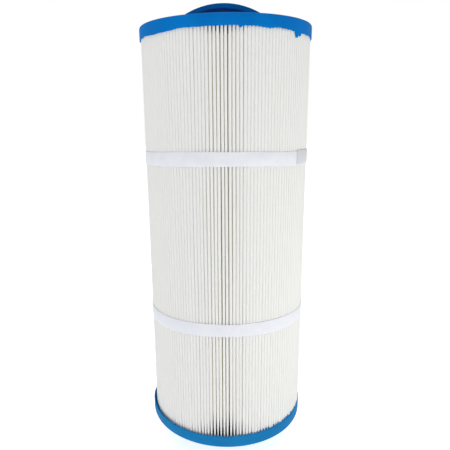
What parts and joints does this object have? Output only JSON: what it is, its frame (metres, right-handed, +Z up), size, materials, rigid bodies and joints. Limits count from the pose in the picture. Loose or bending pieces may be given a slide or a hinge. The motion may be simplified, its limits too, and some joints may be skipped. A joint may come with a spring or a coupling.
{
  "type": "pleated filter cartridge",
  "caption": "Tall round spa filter cartridge: white pleated fabric on a perforated core, blue end caps, carrying handle on top, threaded outlet below and support bands.",
  "frame": {"origin": "on the cartridge's axis, at the open end of the threaded spigot, which it stands on", "axes": "+Z up along the cartridge's axis; the handle's arch spans X; the media's side seam is at +Y"},
  "size_m": [0.136, 0.136, 0.3778],
  "materials": {
    "spigot_plastic": "moulded rigid plastic, light gloss",
    "cap_urethane": "cast urethane, soft satin",
    "core_plastic": "moulded white plastic, satin",
    "filter_fabric": "spunbond polyester, matte",
    "seam_adhesive": "hot-melt adhesive, smooth",
    "band_fabric": "smooth calendered polyester strip",
    "handle_plastic": "moulded dark blue plastic, light gloss"
  },
  "bodies": {
    "root": {"threaded_spigot": "spigot_plastic", "bottom_end_cap": "cap_urethane", "center_core": "core_plastic", "pleated_media": "filter_fabric", "side_seam": "seam_adhesive", "upper_band": "band_fabric", "lower_band": "band_fabric", "top_end_cap": "cap_urethane", "lifting_handle": "handle_plastic"}
  },
  "joints": []
}
